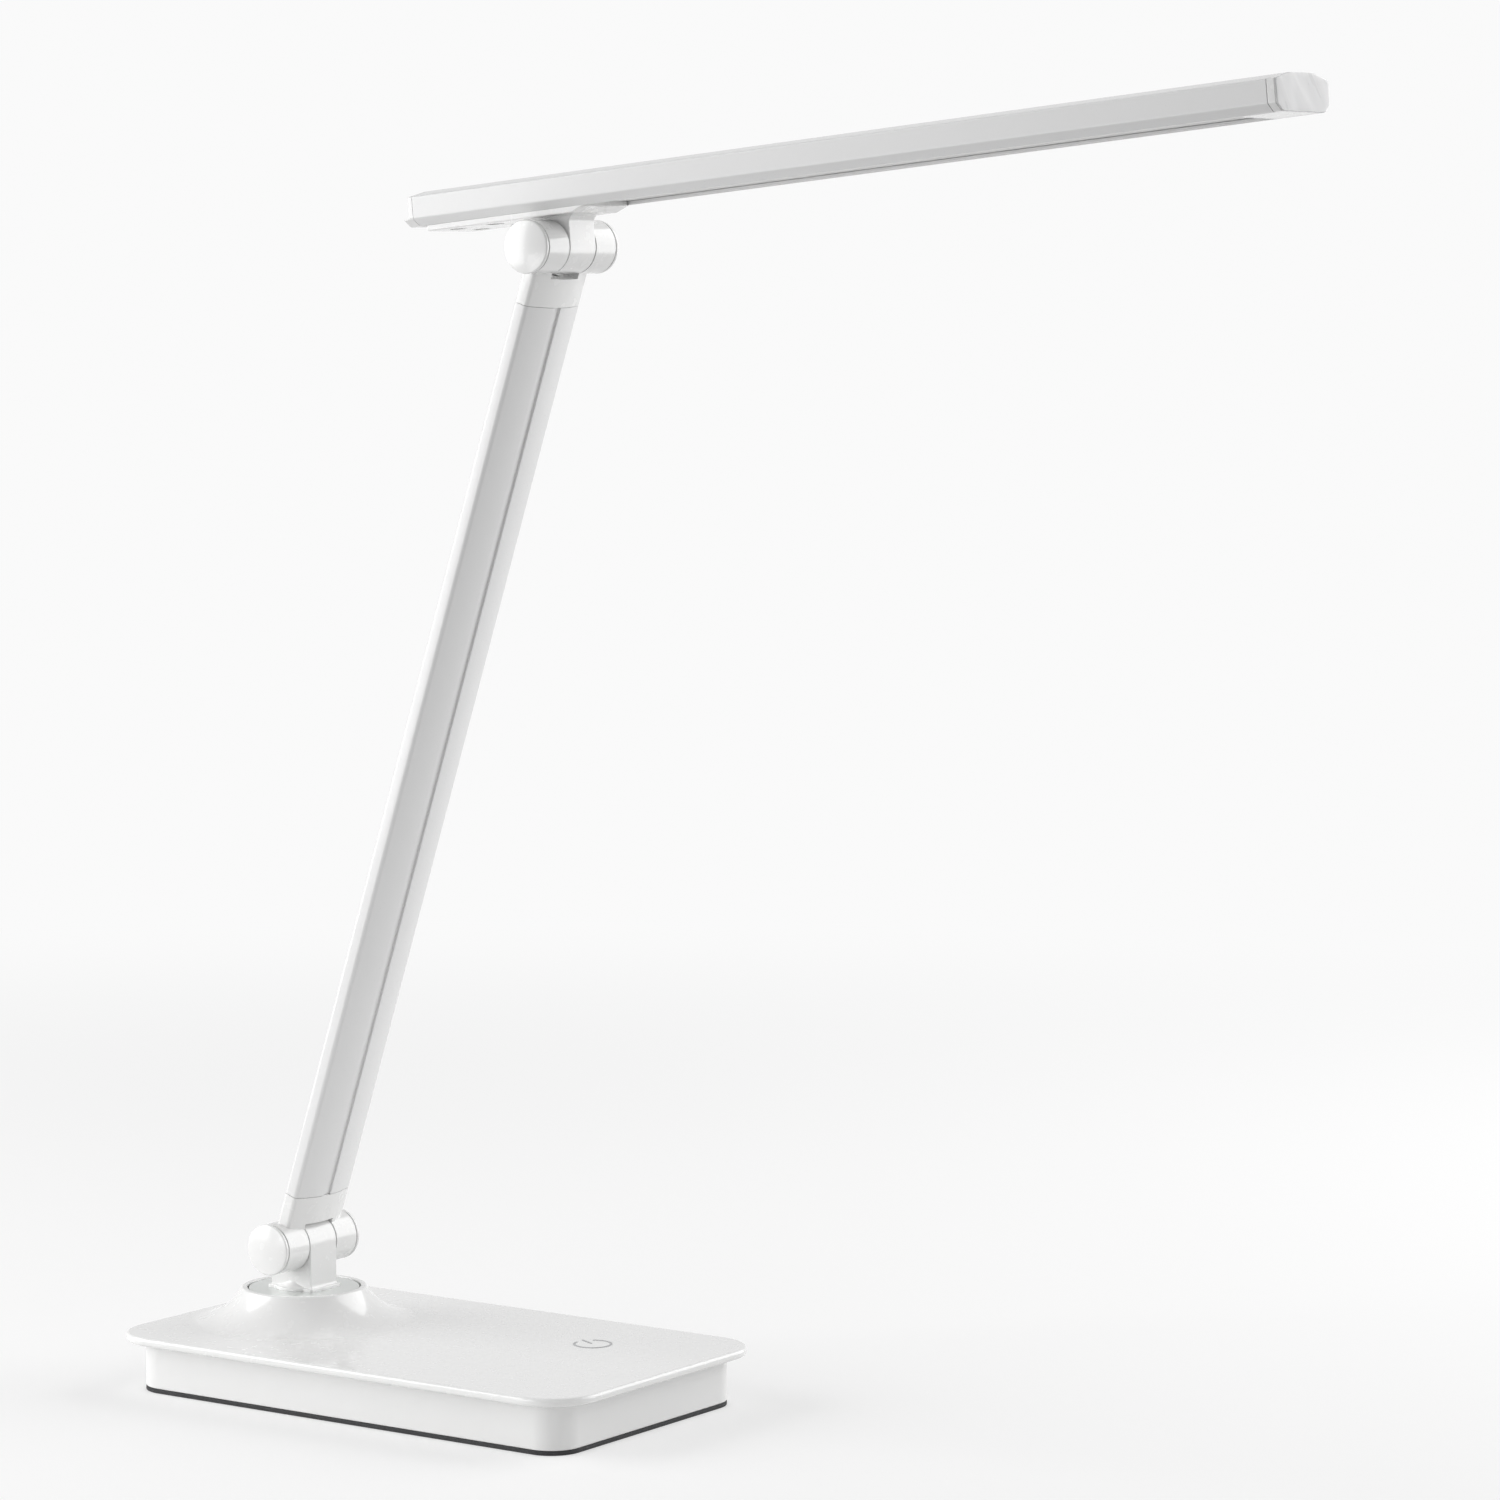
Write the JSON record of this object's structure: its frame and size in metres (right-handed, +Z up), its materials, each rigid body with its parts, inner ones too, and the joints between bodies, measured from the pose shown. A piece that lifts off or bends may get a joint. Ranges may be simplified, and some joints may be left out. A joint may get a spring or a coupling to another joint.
{
  "type": "folding led desk lamp",
  "caption": "Folding LED desk lamp: a slim light bar hinged on a flat arm, on a swivelling turret above a weighted rectangular base with a touch switch.",
  "frame": {"origin": "on the table, under the middle of the base", "axes": "+Z up, +X to the front, where the light bar points, +Y to the left"},
  "size_m": [0.4391, 0.118, 0.4511],
  "materials": {
    "white_gloss": "glossy white moulded plastic",
    "white_satin": "satin white moulded plastic",
    "white_paint": "white powder-coated extrusion",
    "pearl_cap": "pearly white moulded plastic",
    "swivel_gloss": "polished pale grey plastic",
    "dark_rubber": "dark anti-slip foam rubber",
    "steel": "zinc-plated steel",
    "zinc_screws": "bright zinc-plated steel",
    "friction_disc": "filled plastic friction disc",
    "circuit_board": "solder mask",
    "led_board_white": "white solder mask on aluminium",
    "led_lens": "yellow phosphor lens",
    "diffuser_white": "opal acrylic, fine matt",
    "black_plastic": "black moulded plastic",
    "lead_grey": "grey PVC sheath",
    "symbol_grey": "grey printed ink"
  },
  "bodies": {
    "base": {"base_cover": "white_gloss", "base_tray": "white_satin", "ballast_plate": "steel", "anti_slip_pad": "dark_rubber", "touch_symbol": "symbol_grey", "touch_board": "circuit_board", "driver_board": "circuit_board", "power_inlet": "black_plastic", "cover_screws": "zinc_screws", "ballast_screws": "zinc_screws", "board_screws": "zinc_screws", "power_lead": "lead_grey", "lamp_lead": "lead_grey"},
    "turret": {"turret": "white_gloss", "swivel_disc": "swivel_gloss", "swivel_spindle": "steel", "swivel_washer": "steel", "swivel_nut": "steel"},
    "arm": {"lower_yoke": "white_gloss", "arm_tube": "white_paint", "upper_yoke": "white_gloss", "yoke_screws": "zinc_screws", "arm_lead": "lead_grey", "lower_hinge_bolt": "steel", "lower_hinge_nut": "steel", "lower_hinge_washers": "friction_disc", "lower_cap_right": "white_gloss", "lower_cap_left": "white_gloss", "upper_hinge_bolt": "steel", "upper_hinge_nut": "steel", "upper_hinge_washers": "friction_disc", "upper_cap_right": "white_gloss", "upper_cap_left": "white_gloss"},
    "head": {"head_bracket": "white_gloss", "bracket_screws": "zinc_screws", "head_extrusion": "white_paint", "led_board": "led_board_white", "leds": "led_lens", "diffuser": "diffuser_white", "front_cap": "pearl_cap", "rear_cap": "white_satin", "head_lead": "lead_grey"}
  },
  "joints": [
    {"name": "swivel", "type": "hinge", "parent": "base", "child": "turret", "pos_m": [-0.0585, 0, 0.0301], "axis": [0, 0, 1], "range_deg": [-90, 90]},
    {"name": "arm_fold", "type": "hinge", "parent": "turret", "child": "arm", "pos_m": [-0.0585, 0, 0.0483], "axis": [0, 1, 0], "range_deg": [-33, 71.7]},
    {"name": "head_fold", "type": "hinge", "parent": "arm", "child": "head", "pos_m": [0.05697, 0, 0.39866], "axis": [0, 1, 0], "range_deg": [-66, 114]}
  ]
}
